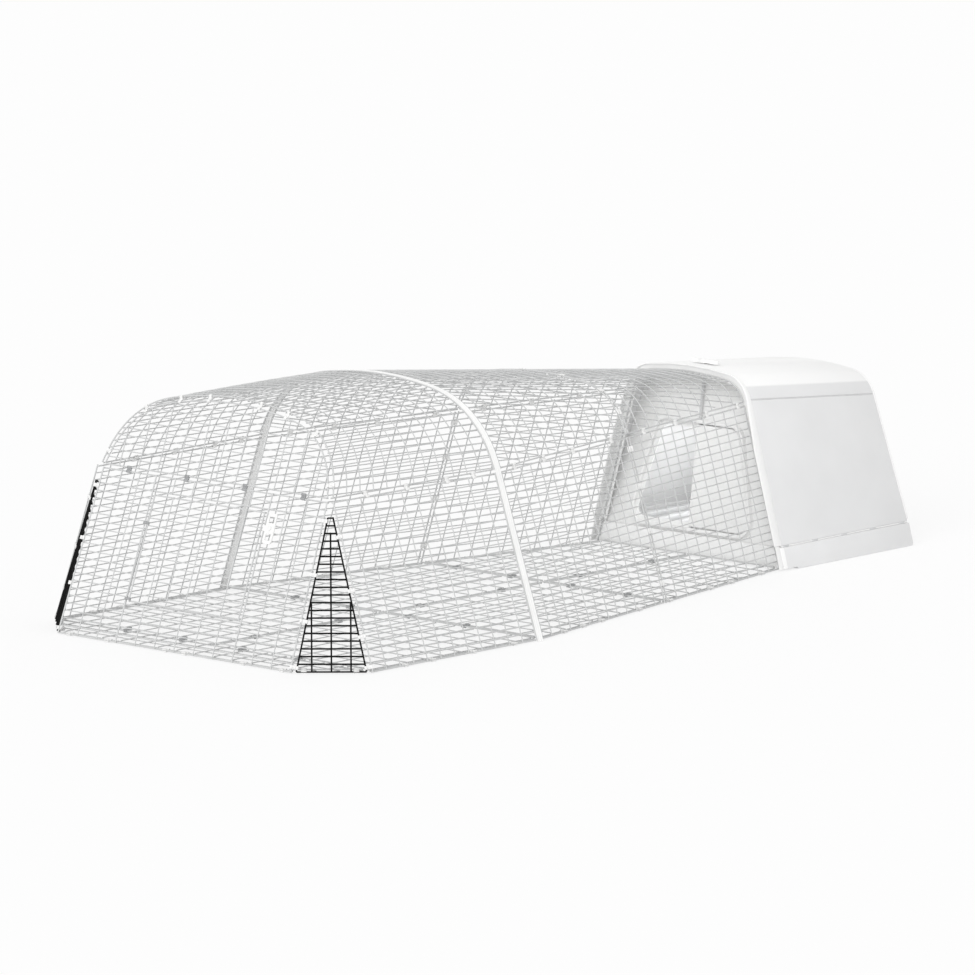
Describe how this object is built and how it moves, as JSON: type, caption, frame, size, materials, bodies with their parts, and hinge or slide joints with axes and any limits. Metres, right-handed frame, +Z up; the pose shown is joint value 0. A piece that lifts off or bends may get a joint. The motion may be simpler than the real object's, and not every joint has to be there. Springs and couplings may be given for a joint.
{
  "type": "chicken run",
  "caption": "Flared tunnel run of welded wire mesh with a leaning front door and cut front corners, clipped together and closed at its narrow end by a moulded hen house.",
  "frame": {"origin": "middle of the bounding box, on the ground", "axes": "+X to the right seen from the front of the run, +Y from the front of the run to the back of the house, +Z up"},
  "size_m": [1.418, 3.144, 0.7987],
  "materials": {
    "coated_wire": "satin",
    "black_wire": "satin",
    "white_clip": "matte",
    "grey_clip": "matte",
    "white_plastic": "matte",
    "grey_plastic": "matte",
    "pin_steel": "satin"
  },
  "bodies": {
    "frame": {"side_panel_house_right": "coated_wire", "side_panel_house_left": "coated_wire", "side_panel_middle_right": "coated_wire", "side_panel_middle_left": "coated_wire", "side_panel_front_right": "coated_wire", "side_panel_front_left": "coated_wire", "roof_rods_house": "coated_wire", "roof_rods_middle": "coated_wire", "roof_rods_front": "coated_wire", "roof_hoops_house": "coated_wire", "roof_hoops_middle": "coated_wire", "roof_hoops_front": "coated_wire", "floor_house_right": "coated_wire", "floor_house_left": "coated_wire", "floor_middle_right": "coated_wire", "floor_middle_left": "coated_wire", "floor_front_right": "coated_wire", "floor_front_left": "coated_wire", "floor_end": "coated_wire", "front_panel": "coated_wire", "front_arch_panel": "coated_wire", "corner_triangle_right": "black_wire", "corner_triangle_left": "black_wire", "ground_clips": "white_clip", "waist_clips": "white_clip", "post_clips": "white_clip", "roof_seam_clips": "white_clip", "arch_clips": "white_clip", "corner_clips": "white_clip", "run_door_latch_block": "white_clip", "floor_clips": "grey_clip", "front_seam_clips": "grey_clip", "middle_hoop": "white_plastic", "house_base": "white_plastic", "front_rim": "white_plastic", "front_wall": "white_plastic", "shell_catches": "white_plastic", "house_shell": "grey_plastic", "roosting_bars": "grey_plastic", "nest_divider": "grey_plastic", "rear_hinge_pins": "pin_steel"},
    "run_door": {"run_door": "coated_wire", "run_door_hinges": "grey_clip"},
    "run_door_latch": {"run_door_latch": "white_clip"},
    "pop_door": {"pop_door": "white_plastic", "pop_door_shaft": "grey_plastic", "roof_handle": "white_plastic"},
    "rear_door": {"rear_door": "white_plastic"},
    "rear_door_latch": {"rear_door_latch": "grey_plastic"},
    "droppings_tray": {"droppings_tray": "grey_plastic"}
  },
  "joints": [
    {"name": "run_door_hinge", "type": "hinge", "parent": "frame", "child": "run_door", "pos_m": [-0.25795, -1.46423, 0.28848], "axis": [0, -0.3486, -0.9373], "range_deg": [0, 150]},
    {"name": "run_door_latch_turn", "type": "hinge", "parent": "frame", "child": "run_door_latch", "pos_m": [0.28995, -1.4238, 0.42014], "axis": [0, -0.9373, 0.3486], "range_deg": [0, 90]},
    {"name": "pop_door_turn", "type": "hinge", "parent": "frame", "child": "pop_door", "pos_m": [0, 0.92172, 0.26832], "axis": [0, -0.1357, -0.9907], "range_deg": [0, 178]},
    {"name": "rear_door_hinge", "type": "hinge", "parent": "frame", "child": "rear_door", "pos_m": [0, 1.55902, 0.084], "axis": [-1, 0, 0], "range_deg": [0, 90]},
    {"name": "rear_door_latch_turn", "type": "hinge", "parent": "rear_door", "child": "rear_door_latch", "pos_m": [0, 1.51698, 0.53719], "axis": [0, -0.9957, -0.0924], "range_deg": [0, 90]},
    {"name": "droppings_tray_slide", "type": "slide", "parent": "frame", "child": "droppings_tray", "axis": [0, 1, 0], "range_m": [0, 0.4]}
  ]
}
